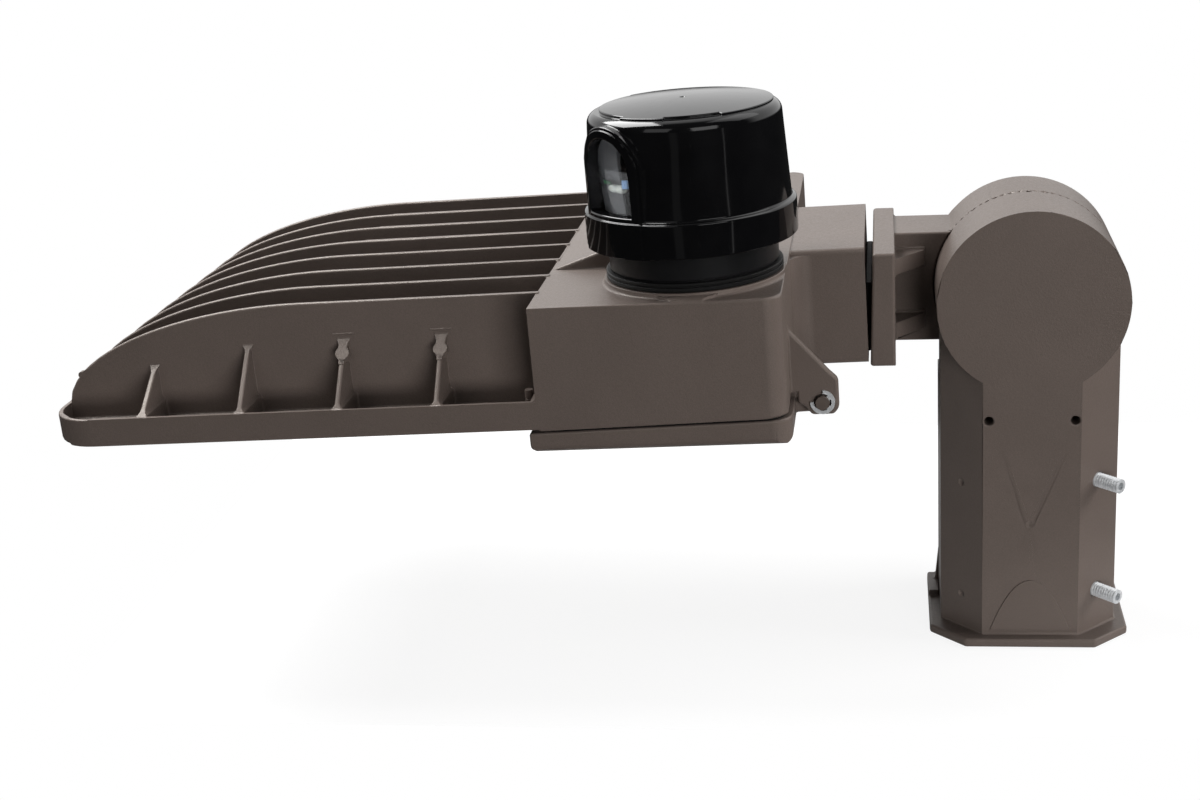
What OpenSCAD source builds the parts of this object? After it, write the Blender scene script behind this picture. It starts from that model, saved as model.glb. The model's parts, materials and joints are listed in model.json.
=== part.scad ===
// Shoebox area light: a finned die-cast head on a slip fitter with a serrated tilt knuckle.
// Millimetres. Z is up, the head points along -X. The origin is the centre of the tenon socket's mouth.

/* [Slip Fitter] */
// outside diameter of the pole tenon that the socket takes
tenon_d = 60.3; // [58:0.1:61]
// depth of the tenon socket
socket_depth = 98; // [85:1:104]
// width across the flats of the octagonal body
fitter_w = 75.2; // [74:0.1:78]
// width of each flat front, back and side panel
panel_w = 40.8; // [38:0.1:44]
// width across the flats of the base flange
base_w = 85.4; // [82:0.1:90]
// width of the flat edges of the base flange
base_panel_w = 55.6; // [50:0.1:60]
// thickness of the base flange
base_t = 4; // [3:0.1:6]
// height of the upper set screw
screw_z_high = 73.2; // [60:0.1:80]
// height of the lower set screw
screw_z_low = 22; // [14:0.1:30]
// thread diameter of the set screws
screw_d = 6.35; // [5:0.05:10]

/* [Knuckle] */
// height of the tilt axis
knuckle_z = 154; // [150:0.5:165]
// radius of the two knuckle discs
knuckle_r = 39.5; // [38:0.1:40.5]
// number of serrations round each disc
teeth = 72; // [36:12:72]
// depth of each serration
tooth_depth = 0.8; // [0.4:0.1:1.2]
// distance of the serrated joint from the centre plane
joint_y = 1.2; // [0:0.1:3]
// distance of the far disc's back face from the centre plane
arm_y = 33; // [30:0.1:36]
// diameter of the clamp bolt
bolt_d = 12; // [10:1:14]

/* [Arm] */
// width of the arm's mounting flange
flange_w = 85.6; // [80:0.1:90]
// height of the arm's mounting flange
flange_h = 48.6; // [44:0.1:52]
// thickness of the arm's mounting flange
flange_t = 9.8; // [7:0.1:12]
// height of the arm bar
arm_h = 48.5; // [40:0.1:50]

/* [Head] */
// angle by which the head droops below level
head_droop = 1.46; // [0:0.01:4]
// width of the head over the lips
head_w = 235; // [225:0.5:250]
// distance from the tilt axis to the nose
nose_x = 402.4; // [380:0.1:430]
// height of the fin tops
fin_top = 184; // [176:0.5:190]
// number of cooling fins
fins = 8; // [5:1:11]
// distance between neighbouring fins
fin_pitch = 26.32; // [14:0.02:26.4]
// thickness of each fin
fin_t = 2.4; // [1.6:0.1:3]
// length of the curved nose of each fin
nose_len = 104; // [60:1:130]
// fullness of the nose curve, where 2 is an ellipse
nose_power = 1.9; // [1.6:0.05:2.4]
// height of the lip's top edge
lip_top = 145.5; // [144:0.1:149]
// thickness of the lip wall
lip_t = 2; // [1.6:0.1:4]

/* [Driver Box] */
// distance from the tilt axis to the box's front wall
box_front = 197; // [190:0.5:205]
// distance from the tilt axis to the box's rear wall
box_rear = 98.8; // [98:0.1:102]
// width of the box
box_w = 231; // [225:0.5:233]
// wall thickness of the box
box_wall = 3.2; // [2.4:0.1:4]
// height of the lid's underside
lid_bottom = 124.2; // [122:0.1:126]
// slope of the raised roof, in degrees
hump_slope = 19.3; // [12:0.1:30]
// width of the raised roof
hump_w = 114.6; // [80:0.2:140]
// height of the lid hinge pins
pin_z = 132.9; // [131:0.1:134]
// diameter of the hinge pins
pin_d = 5.6; // [4:0.1:6]

/* [Photocell] */
// distance of the photocell's axis from the tilt axis
cell_x = 134.8; // [130:0.1:145]
// distance of the photocell's axis from the near side of the box
cell_inset = 39.4; // [37.9:0.1:46]
// diameter of the photocell's skirt
skirt_d = 84; // [80:0.5:88]
// diameter of the photocell's top face
top_d = 76.4; // [70:0.2:78]
// height of the photocell's top
cell_top = 255.3; // [250:0.1:262]
// direction of the window, turned from the near side towards the nose
window_turn = 45; // [0:1:80]
// width of the window opening
window_w = 25.6; // [18:0.2:28]

/* [Driver] */
// length of the driver case, across the box
driver_l = 116; // [90:1:120]
// width of the driver case, along the head
driver_w = 50; // [36:1:56]
// height of the driver case
driver_h = 36; // [25:0.5:38]
// length of the surge module, across the box
surge_l = 46; // [30:1:60]
// height of the surge module
surge_h = 24; // [15:0.5:26]

/* [LED Array] */
// number of light sources along the head
led_cols = 6; // [3:1:7]
// number of light sources across the head
led_rows = 4; // [3:1:6]

/* [Hidden] */
eps = 0.02;
tiny = 0.01;
part_gap = 0.1;
// fitter
tenon_clear = 0.35;
tenon_r = tenon_d / 2 + tenon_clear;
fitter_h = fitter_w / 2;
panel_h = panel_w / 2;
base_h = base_w / 2;
base_panel_h = base_panel_w / 2;
chamfer_dist = (fitter_h + panel_h) / sqrt(2);
disc_clear = 1.2;
fitter_top = knuckle_z - knuckle_r - disc_clear;
screw_r = screw_d / 2;
screw_stand = 11.6;
screw_thread_clear = 0.05;
screw_socket = 3.2;
screw_socket_depth = 4;
thread_pitch = 1.27;
thread_cut = 0.5;
thread_lead = 2;
screw_in = tenon_r + 0.3;
screw_out = chamfer_dist + screw_stand;
vent_x = 17.9;
vent_z = 103.2;
vent_r = 1.9;
vent_cut = 0.5;
dimple_ball = 2.4;
dimple_deep = 0.7;
dimple_x = -0.5;
dimple_z = 55.9;
dimple_high = 72.3;
dimple_low = 19.7;
pad_w = 34.2;
pad_z = 6.2;
pad_h = 23.8;
pad_t = 0.5;
pad_steps = 16;
tab_x = 5;
tab_y0 = 3;
tab_y1 = 30;
tab_t = 2.5;
brace_w = 1.6;
brace_top = 22;
brace_t = 3.4;
swing_gap = 0.4;
// knuckle
mate_gap = 0.1;
serr_in = 27;
serr_w = 2.1;
serr_run = 1.2;
recess_depth = 1.6;
hub_r = 13;
hub_way = 6;
bolt_r = bolt_d / 2;
bolt_clear = 0.25;
bolt_head_w = 19;
bolt_head_t = 7.6;
bolt_dish = 3;
bolt_dish_depth = 1;
washer_r = 14;
washer_t = 2.4;
counter_r = 15.5;
counter_depth = 13;
bolt_tip_y = -24;
thread_gap = 0.05;
wire_r = 7;
wire_y = -fitter_h / 2 - 1;
wire_off = 19.5;
far_floor = 9;
// arm
flange_near = 66.3;
flange_mid_z = 154.2;
flange_lean = 0.75;
arm_near_y = -1;
arm_far_y = 32;
arm_mid_z = 152.75;
arm_wall = 5;
web_t = 7;
web_x = 12.9;
web_y = 16.5;
web_base = 0.7;
web_high = 162.5;
web_low = 134.3;
web_lip = 1.2;
duct_h = 8.5;
duct_end = 21;
tie_x = 28.3;
tie_z = 5.5;
tie_r = 3;
tie_clear = 0.25;
tie_head_r = 5;
tie_head_t = 6;
tie_socket = 5;
tie_socket_depth = 3;
tie_depth = 8;
// neck
neck_end = 68.3;
neck_h = 41.8;
neck_z0 = 133.1;
neck_z1 = 182.8;
neck_wall = 4;
neck_end_t = 5.5;
neck_fillet = 9;
neck_round = 2;
neck_rear_drop = 2;
neck_hole_y = 14;
neck_hole_r = 9;
seal_h = 36;
seal_z0 = 136.5;
seal_z1 = 166.5;
seal_wall = 3.3;
// head
head_h = head_w / 2;
nose_r = 20;
fin_front = nose_x - 2.2;
fin_rise = fin_top - lip_top;
fin_steps = 18;
fin_root = fin_t / 2;
fin_y1 = fin_pitch * (fins - 1) / 2;
fin_sink = 1;
fin_spread = 1.5;
plate_top = lip_top - 0.7;
lip_bottom = 134;
lip_fillet = 2.5;
corner_steps = 10;
fillet_steps = 5;
trough_floor = 138.2;
trough_end = 2.4;
pocket_top = 141.4;
pocket_front = 12;
pocket_rear = 8;
pocket_y = 87;
gusset_t = 2.2;
gusset_foot = 2.2;
gusset_cap = 2.3;
gusset_flare = 2.2;
gusset_ease = 0.4;
gusset_x = [360.5, 319.1, 278.2, 237.4];
gusset_z = [160.7, 167.6, 168.5, 168.7];
vase_r = 2.9;
vase_mid = 5;
vase_neck = 1.9;
vase_collar = 2.8;
vase_h = 11.7;
vase_depth = 3;
vase_proud = 0.2;
vase_steps = 8;
vase_turn = 48;
crease_w = 8.7;
crease_up = 2;
crease_r = 0.4;
nub_x = 393.4;
nub_r = 1.5;
stud_r = 1.7;
stud_x = 5;
stud_off = 9.9;
stud_top = 146.6;
stud_foot = 2;
stud_groove_z = 4.6;
stud_groove = 0.7;
// box
box_h = box_w / 2;
box_r = 7.5;
box_skirt = 3;
box_top = 183.6;
roof_t = 3.4;
part_front_z = 133.2;
part_rear_z = 135.2;
hump_top = 191;
hump_fall = 8;
hump_rear = 8;
hump_start = 1;
lid_over = 3.9;
lid_front = box_front + lid_over;
lid_rear = box_rear - 1.6;
lid_r = 8;
lid_floor = 3;
lid_relief = 0.6;
lid_wall = 3;
lid_round = 3;
lid_rim = 2;
lid_gap = 0.8;
seal_inset = 1.1;
seal_w = 2.4;
part_slope = (part_rear_z - part_front_z) / (lid_front - lid_rear);
lug_inset = 25.5;
lug_y = box_h - lug_inset;
lug_t = 4;
lug_top = 165;
lug_foot = 137;
lug_root = 96;
lug_nose = 6.5;
lug_low = 5.5;
lug_shoulder = 12.5;
pin_x = 86.2;
pin_r = pin_d / 2;
pin_clear = 0.08;
pin_groove = 0.6;
ear_t = 4.5;
ear_r = 5.4;
ear_gap = 0.4;
clip_r = 4.9;
clip_t = 0.9;
clip_hole = 3.5;
clip_tabs = [-35, 45, 125];
lid_screw_x = 9;
lid_screw_inset = 20.5;
lid_screw_y = box_h - lid_screw_inset;
lid_socket = 4;
lid_socket_depth = 1.5;
lid_head_in = 0.6;
lid_boss_h = 18;
lid_screw_r = 2.5;
lid_screw_clear = 0.3;
lid_head_r = 4.8;
lid_head_t = 3.2;
lid_boss_r = 6.5;
lid_screw_len = 14;
// photocell and receptacle
cell_y = box_h - cell_inset;
pad_r = 36.4;
pad_top = 186;
pad_fillet = 1.4;
pad_clear = 1.2;
ramp_foot = 5.5;
ramp_root = 12;
ramp_rise = 2;
ring_r = 35.4;
ring_top = 189.6;
ring_line = 0.6;
ring_ridge = 0.7;
ring_ridge_z = 187.8;
ring_ridge_t = 0.5;
socket_r = 33;
neck_r = 33.8;
skirt_low = 200.5;
skirt_high = 214.2;
skirt_edge = 0.5;
skirt_r = skirt_d / 2;
top_r = top_d / 2;
cell_wall = 2.2;
bore_r = 24;
body_low_r = 40.2;
shoulder_r = 4.4;
shoulder_z = cell_top - 7.3;
shoulder_steps = 8;
shoulder_turn = 80;
plate_r = 35;
plate_step = 1;
plate_dome = 2.1;
plate_notch = 2;
notch_arcs = [[-97, 37], [134, 98]];
dome_steps = 8;
dot_r = 1.6;
blade_r = 13.3;
blade_t = 1.6;
blade_arc = 34;
blade_slack = 4;
blade_len = 14;
blade_turn = 120;
blade_clear = 0.5;
twist_max = 20;
cell_base_z = 200.6;
cell_base_t = 3;
cell_base_gap = 0.9;
recept_top = cell_base_z - cell_base_gap;
recept_low = 12;
screw_ring = 27.4;
screw_hole_r = 2;
screw_head_r = 3.4;
screw_head_t = 2.2;
groove_in = 19;
groove_out = 31.2;
groove_depth = 3.4;
cell_seal_in = 19.6;
cell_seal_out = 23.4;
hood_in = window_w / 2;
hood_rim = 2.6;
hood_half = hood_in + 4.6;
hood_out = 41.5;
hood_step = 0.7;
hood_root = 26;
hood_drop = 22.3;
hood_arch_z = cell_top - hood_drop;
window_z0 = skirt_high + 2;
pane_t = 1.4;
pane_in = 5;
pane_clear = 0.05;
panel_out = 0.5;
// internals
driver_front = box_front - 19;
driver_side = 8.3;
driver_y1 = box_h - box_wall - driver_side;
driver_y0 = driver_y1 - driver_l;
inner_top = box_top - roof_t;
driver_z0 = inner_top - driver_h;
driver_round = 3;
driver_hole_x = 9;
driver_hole_y = 3;
driver_hole_r = 2.2;
driver_screw_r = 2;
driver_head_r = 4;
driver_head_t = 3;
plug_x = driver_front - 18;
plug_r = 3;
plug_len = 2.5;
plug_z = driver_z0 + 8;
surge_front = box_front - 7;
surge_w = 26;
surge_side = 4.3;
surge_round = 2;
terminal_l = 48;
terminal_w = 18;
terminal_h = 14;
terminal_rear = box_rear + box_wall + 2;
terminal_y = 20;
terminal_hole_r = 3;
terminal_hole_depth = 5;
terminal_pitch = 12;
board_edge = 4;
board_notch = 5;
board_t = 1.6;
chip_w = 5;
chip_t = 0.9;
lens_z0 = 135.9;
lens_t = 1.6;
dome_r = 8.4;
dome_h = 2.4;
frame_z0 = 135.3;
frame_edge = 0.4;
frame_w = 10.6;
lens_edge = 1.5;
lens_seal_w = 2.7;
lens_low = 0.6;
lens_up = 1.2;
lens_hole_r = 1.7;
lens_hole_in = 7;
lens_cup_r = 4;
lens_screw_r = 1.5;
lens_head_r = 2.8;
lens_head_t = 1.4;
lens_dish_r = 1.2;
led_x0 = 370;
led_x1 = 228;
led_y = 66;
lead_joint = 0.6;
lead_y = 36;
lead_drop = 0.8;
lead_z = pocket_top - lead_drop;
lead_r = 0.75;
lead_hole_r = 2;
supply_r = 1.3;
supply_in = 22;
cell_lead_r = 1.1;
cell_board_r = 30;
cell_board_t = 1.6;
cell_board_up = 1.5;
sensor_drop = 27;
sensor_z = cell_top - sensor_drop;
sensor_r = 3;
sensor_y = 25;

paint = [0.33, 0.29, 0.27];
steel = [0.75, 0.76, 0.78];
black = [0.03, 0.03, 0.035];

// places the head's own level frame into the drooped position
module in_head() {
    translate([0, 0, knuckle_z])
        rotate([0, -head_droop, 0])
            translate([0, 0, -knuckle_z])
                children();
}

// octagon with flats of half width f and panels of half width p
module octagon(f, p) {
    polygon([[f, p], [p, f], [-p, f], [-f, p], [-f, -p], [-p, -f], [p, -f], [f, -p]]);
}

// profile given in X and Z, extruded from y0 to y1
module side_cut(pts, y0, y1) {
    translate([0, y1, 0])
        rotate([90, 0, 0])
            linear_extrude(y1 - y0)
                polygon(pts);
}

// block with rounded vertical corners
module round_block(x0, x1, y0, y1, z0, z1, r) {
    translate([x0 + r, y0, z0])
        cube([x1 - x0 - 2 * r, y1 - y0, z1 - z0]);
    translate([x0, y0 + r, z0])
        cube([x1 - x0, y1 - y0 - 2 * r, z1 - z0]);
    for (x = [x0 + r, x1 - r])
        for (y = [y0 + r, y1 - r])
            translate([x, y, z0])
                cylinder(r = r, h = z1 - z0);
}

module block(x0, x1, y0, y1, z0, z1) {
    translate([x0, y0, z0])
        cube([x1 - x0, y1 - y0, z1 - z0]);
}

// rod along Y from y0 to y1
module rod_y(x, z, r, y0, y1) {
    translate([x, y1, z])
        rotate([90, 0, 0])
            cylinder(r = r, h = y1 - y0);
}

// rod along X from x0 to x1
module rod_x(y, z, r, x0, x1) {
    translate([x0, y, z])
        rotate([0, 90, 0])
            cylinder(r = r, h = x1 - x0);
}

module both_sides() {
    children();
    mirror([0, 1, 0])
        children();
}

// radial grooves that leave the serrations standing on a disc face at y = 0
module serration_cuts() {
    for (i = [0:teeth - 1])
        rotate([0, i * 360 / teeth, 0])
            translate([serr_in - serr_run, 0, 0])
                rotate([0, 90, 0])
                    linear_extrude(knuckle_r - serr_in + serr_run + disc_clear)
                        polygon([[-serr_w / 2, tiny], [serr_w / 2, tiny], [0, -tooth_depth]]);
}

// direction of the set screws: out of the right near chamfer
module at_screw(z) {
    translate([0, 0, z])
        rotate([0, 0, -45])
            rotate([0, 90, 0])
                children();
}

module fitter_body() color(paint) {
    difference() {
        union() {
            linear_extrude(base_t)
                octagon(base_h, base_panel_h);
            linear_extrude(fitter_top)
                octagon(fitter_h, panel_h);
            // near half runs up into its knuckle disc and stays clear of the swinging arm
            intersection() {
                linear_extrude(knuckle_z)
                    octagon(fitter_h, panel_h);
                block(-fitter_h, fitter_h, -fitter_h, arm_near_y - swing_gap, 0, knuckle_z);
            }
            rod_y(0, knuckle_z, knuckle_r, -fitter_h, joint_y - mate_gap);
            front_pad();
            block(-base_h, -base_h + tab_x, tab_y0, tab_y1 - tab_x, base_t - eps, base_t + tab_t);
            // slim brace between the left panel and the base flange
            side_cut([[-fitter_h + 1, base_t - 1], [-fitter_h - brace_w, base_t - 1],
                [-fitter_h - brace_w, base_t + tab_t], [-fitter_h, brace_top], [-fitter_h + 1, brace_top]],
                panel_h - brace_t, panel_h - tiny);
        }
        translate([0, 0, -eps])
            cylinder(r = tenon_r, h = socket_depth + eps);
        // wire way up into the knuckle
        translate([0, wire_y, socket_depth - eps])
            cylinder(r = wire_r, h = knuckle_z - socket_depth - wire_off + wire_r + 2);
        rod_y(0, knuckle_z - wire_off, wire_r, wire_y, joint_y + eps);
        // recess inside the ring of serrations, with the bolt hub left standing
        difference() {
            rod_y(0, knuckle_z, serr_in, joint_y - mate_gap - recess_depth, joint_y + eps);
            rod_y(0, knuckle_z, hub_r, joint_y - 2 * recess_depth, joint_y + 2 * eps);
        }
        translate([0, joint_y - mate_gap, knuckle_z])
            serration_cuts();
        rod_y(0, knuckle_z, bolt_r + thread_gap, bolt_tip_y - 2, joint_y + eps);
        for (z = [screw_z_low, screw_z_high])
            at_screw(z)
                cylinder(r = screw_r + screw_thread_clear, h = chamfer_dist + 2 * base_t);
        // casting dimples in the left chamfer and in the near panel
        for (z = [dimple_low, dimple_high])
            rotate([0, 0, 180])
                mirror([0, 1, 0])
                    at_screw(z)
                        translate([0, 0, chamfer_dist - dimple_deep + dimple_ball])
                            sphere(r = dimple_ball);
        translate([dimple_x, -fitter_h + dimple_deep - dimple_ball, dimple_z])
            sphere(r = dimple_ball);
        for (s = [-1, 1]) {
            rod_y(s * vent_x, vent_z, vent_r, -fitter_h - eps, -panel_h);
            translate([s * vent_x, -fitter_h + vent_cut + part_gap, vent_z])
                rotate([90, 0, 0])
                    cylinder(r1 = vent_r - part_gap, r2 = vent_r + vent_cut, h = vent_cut + part_gap + eps);
        }
    }
}

// slightly raised arched pad low on the near panel
module front_pad() {
    translate([0, -fitter_h + eps, pad_z])
        rotate([90, 0, 0])
            linear_extrude(pad_t + eps)
                polygon([for (i = [0:pad_steps]) [
                    pad_w * (i / pad_steps - 0.5),
                    pad_h * (1 - pow(2 * i / pad_steps - 1, 2))]]);
}

module set_screw() {
    difference() {
        union() {
            translate([0, 0, screw_in])
                cylinder(r = screw_r - thread_cut, h = screw_out - screw_in);
            translate([0, 0, screw_in + thread_lead])
                cylinder(r = screw_r, h = chamfer_dist - screw_in - thread_lead);
            for (i = [0:floor((screw_stand - 1) / thread_pitch)])
                translate([0, 0, chamfer_dist + i * thread_pitch - eps]) {
                    cylinder(r1 = screw_r, r2 = screw_r - thread_cut, h = thread_pitch / 2 + eps);
                    translate([0, 0, thread_pitch / 2])
                        cylinder(r1 = screw_r - thread_cut, r2 = screw_r, h = thread_pitch / 2 + eps);
                }
        }
        translate([0, 0, screw_out - screw_socket_depth])
            cylinder(d = screw_socket / cos(30), h = screw_socket_depth + eps, $fn = 6);
    }
}

module set_screws() color(steel) {
    for (z = [screw_z_low, screw_z_high])
        at_screw(z)
            set_screw();
}

module knuckle_bolt() color(steel) {
    difference() {
        union() {
            rod_y(0, knuckle_z, bolt_r, bolt_tip_y, arm_y - counter_depth + washer_t);
            translate([0, arm_y - counter_depth + washer_t + bolt_head_t, knuckle_z])
                rotate([90, 0, 0])
                    cylinder(d = bolt_head_w / cos(30), h = bolt_head_t, $fn = 6);
        }
        rod_y(0, knuckle_z, bolt_r - bolt_dish,
            arm_y - counter_depth + washer_t + bolt_head_t - bolt_dish_depth, arm_y);
    }
}

module knuckle_washer() color(steel) {
    difference() {
        rod_y(0, knuckle_z, washer_r, arm_y - counter_depth, arm_y - counter_depth + washer_t);
        rod_y(0, knuckle_z, bolt_r + part_gap, arm_y - counter_depth - eps, arm_y);
    }
}

// flange outline: its near face leans so that a wedge-shaped gap stays below the neck
module arm_flange() {
    side_cut([
        [-flange_near - flange_lean, flange_mid_z - flange_h / 2],
        [-flange_near + flange_t, flange_mid_z - flange_h / 2],
        [-flange_near + flange_t, flange_mid_z + flange_h / 2],
        [-flange_near + flange_lean, flange_mid_z + flange_h / 2]],
        -flange_w / 2, flange_w / 2);
}

// triangular web between the arm's near face and the flange
module arm_web(z) {
    translate([-flange_near + flange_t - eps, 0, z])
        linear_extrude(web_t)
            polygon([[0, arm_near_y + eps], [web_x, arm_near_y + eps], [web_x, arm_near_y - web_base],
                [0, arm_near_y - web_y]]);
    // low bead where the web's top meets the arm
    block(-flange_near + flange_t - eps, -flange_near + flange_t + web_x, arm_near_y - web_base,
        arm_near_y + eps, z + web_t - eps, z + web_t + web_lip);
}

module knuckle_arm() color(paint) {
    difference() {
        union() {
            rod_y(0, knuckle_z, knuckle_r, joint_y + mate_gap, arm_y);
            difference() {
                block(-flange_near + flange_t - 1, 0, arm_near_y, arm_far_y,
                    arm_mid_z - arm_h / 2, arm_mid_z + arm_h / 2);
                rod_y(0, knuckle_z, knuckle_r + part_gap * 3, arm_near_y - 1, joint_y + mate_gap);
            }
            arm_flange();
            arm_web(web_low);
            arm_web(web_high);
        }
        // hollow disc and bar that carry the wires
        difference() {
            rod_y(0, knuckle_z, serr_in, joint_y + mate_gap - eps, arm_y - far_floor);
            rod_y(0, knuckle_z, hub_r + hub_way, joint_y - 1, arm_y);
        }
        rod_y(0, knuckle_z, hub_r + hub_way + eps, joint_y, joint_y + mate_gap + recess_depth);
        block(-flange_near - 2, -duct_end, joint_y + arm_wall, arm_y - far_floor,
            knuckle_z - duct_h, knuckle_z + duct_h);
        rod_y(0, knuckle_z, bolt_r + bolt_clear, joint_y - 1, arm_y);
        rod_y(0, knuckle_z, counter_r, arm_y - counter_depth, arm_y + eps);
        translate([0, joint_y + mate_gap, knuckle_z])
            rotate([0, 0, 180])
                serration_cuts();
        in_head()
            for (y = [-tie_x, tie_x])
                for (z = [-tie_z, tie_z])
                    rod_x(y, flange_mid_z + z, tie_r + thread_gap, -neck_end, -neck_end + tie_depth);
    }
}

// wedge seal squeezed between the neck and the flange
module neck_seal() color(black) {
    difference() {
        intersection() {
            in_head()
                block(-neck_end, 0, -seal_h, seal_h, seal_z0, seal_z1);
            arm_gap();
        }
        in_head()
            block(-neck_end - 1, 0, -seal_h + seal_wall, seal_h - seal_wall,
                seal_z0 + seal_wall, seal_z1 - seal_wall);
    }
}

// space to the left of the flange's leaning face
module arm_gap() {
    side_cut([
        [-neck_end - 6, flange_mid_z - flange_h],
        [-flange_near - flange_lean * 2, flange_mid_z - flange_h],
        [-flange_near + flange_lean * 2, flange_mid_z + flange_h],
        [-neck_end - 6, flange_mid_z + flange_h]],
        -flange_w, flange_w);
}

module tie_screws() color(steel) {
    in_head()
        for (y = [-tie_x, tie_x])
            for (z = [-tie_z, tie_z])
                difference() {
                    union() {
                        rod_x(y, flange_mid_z + z, tie_r, -neck_end - neck_end_t, -neck_end + tie_depth - 1);
                        rod_x(y, flange_mid_z + z, tie_head_r,
                            -neck_end - neck_end_t - tie_head_t, -neck_end - neck_end_t);
                    }
                    translate([-neck_end - neck_end_t - tie_head_t - eps, y, flange_mid_z + z])
                        rotate([0, 90, 0])
                            cylinder(d = tie_socket / cos(30), h = tie_socket_depth, $fn = 6);
                }
}

function nose_pt(t) = [
    -fin_front + nose_len * (1 - t),
    lip_top + fin_rise * pow(1 - pow(t, nose_power), 1 / nose_power)];

// one fin in the plane y = y0, from the nose to the driver box
module fin(y0) {
    side_cut(concat(
        [for (i = [0:fin_steps]) nose_pt(1 - pow(i / fin_steps, fin_spread))],
        [[-box_front + fin_sink, fin_top], [-box_front + fin_sink, plate_top - fin_sink],
            [-fin_front, plate_top - fin_sink]]),
        y0 - fin_root, y0 + fin_root);
}

// sloped rib between the lip and the outer fin, flared at its foot and at its top
module gusset(x, z) {
    intersection() {
        translate([-x - gusset_foot, 0, 0])
            rotate([90, 0, 90])
                linear_extrude(2 * gusset_foot)
                    polygon([[-head_h + lip_t - eps, trough_floor - eps],
                        [-fin_y1 - fin_root + eps, trough_floor - eps],
                        [-fin_y1 - fin_root + eps, z], [-head_h + lip_t - eps, lip_top - part_gap]]);
        translate([-x, 0, 0])
            side_cut(both_halves(gusset_half(z)), -head_h, -fin_y1);
    }
}

// one gusset seen from the side: half widths from its foot to its cap
function gusset_half(z) = let (h = gusset_t / 2) [
    [gusset_foot, trough_floor - 1], [gusset_foot, lip_top],
    [h + gusset_ease, lip_top + gusset_flare / 3], [h, lip_top + gusset_flare * 0.75],
    [h, z - gusset_flare], [h + gusset_ease, z - gusset_flare / 2], [gusset_cap, z], [gusset_cap, z + 1]];

// outline that is the same on both sides of its middle line
function both_halves(half) = concat(half, [for (i = [len(half) - 1:-1:0]) [-half[i][0], half[i][1]]]);

// half outline of the pad on a gusset's sloping edge, from its foot to its collar
function vase_half() = concat([[gusset_t / 2, 0], [gusset_t / 2, vase_mid - vase_r - gusset_ease]],
    arc([0, vase_mid], vase_r, -vase_turn, vase_turn, vase_steps),
    [[vase_neck, vase_h - vase_r], [vase_neck + gusset_ease, vase_h - vase_r / 2],
        [vase_collar, vase_h], [vase_collar, vase_h + 1]]);

// ejector pad at the top of a gusset, with the crease above it
module gusset_boss(x, z) {
    lean = atan2(z - lip_top, head_h - lip_t - fin_y1 - fin_root);
    translate([-x, -fin_y1 - fin_root, z])
        rotate([lean, 0, 0])
            translate([0, -vase_h, -vase_depth])
                linear_extrude(vase_depth + vase_proud)
                    polygon(both_halves(vase_half()));
    rod_x(-fin_y1 - fin_root, z + crease_up, crease_r, -x - crease_w / 2, -x + crease_w / 2);
}

// points on an arc about c
function arc(c, r, a0, a1, n) = [for (i = [0:n]) let (a = a0 + (a1 - a0) * i / n) c + r * [cos(a), sin(a)]];

// outline of the head in plan, drawn in by a wall; its sides taper from the nose to the box
module head_plan(in, x_end) {
    polygon(concat(
        [[x_end, -box_h + in]],
        arc([-nose_x + nose_r, -head_h + nose_r], nose_r - in, 270, 180, corner_steps),
        arc([-nose_x + nose_r, head_h - nose_r], nose_r - in, 180, 90, corner_steps),
        [[x_end, box_h - in]]));
}

// floor of the head: a shallow tray with a lip and two side troughs
module tray() {
    difference() {
        translate([0, 0, lip_bottom])
            linear_extrude(lip_top - lip_bottom)
                head_plan(0, -box_front + box_wall);
        // side troughs
        both_sides()
            intersection() {
                translate([0, 0, trough_floor])
                    linear_extrude(fin_top - trough_floor)
                        head_plan(lip_t, -box_front - trough_end);
                block(-nose_x, -box_front, -head_h, -fin_y1 - fin_root, trough_floor - 1, fin_top + 1);
            }
        // fin bays stay below the lip
        block(-nose_x + lip_t, -box_front, -fin_y1 - fin_root - eps, fin_y1 + fin_root + eps,
            plate_top, lip_top + 1);
        // pocket for the light sources
        block(-nose_x + pocket_front, -box_front - pocket_rear, -pocket_y, pocket_y,
            lip_bottom - 1, pocket_top);
    }
    both_sides()
        lip_fillets();
}

// curved run-up from the lip to the box
module lip_fillets() {
    side_cut(concat([[-box_front + lip_fillet, lip_top - 1], [-box_front - lip_fillet, lip_top - 1]],
        arc([-box_front - lip_fillet, lip_top + lip_fillet], lip_fillet, -90, 0, fillet_steps),
        [[-box_front + lip_fillet, lip_top + lip_fillet]]),
        -box_h + part_gap, -box_h + lip_t);
}

// small ejector nub on the nose of an outer fin
module fin_nub() {
    t = pow((fin_front - nub_x) / nose_len, 1);
    translate([-nub_x, -fin_y1 + fin_root, nose_pt(1 - t)[1] - nub_r / 2])
        rotate([90, 0, 0])
            cylinder(r = nub_r, h = 2 * fin_root);
}

// profile of the box with the raised roof, in X and Z
function hump_pts(drop, in) = [
    [-box_front + hump_start + in, box_top - drop - eps],
    [-box_front + hump_start + in + (hump_top - box_top) / tan(hump_slope), hump_top - drop],
    [-box_rear - hump_rear - hump_fall - in, hump_top - drop],
    [-box_rear - hump_rear - in, box_top - drop - eps]];

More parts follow.
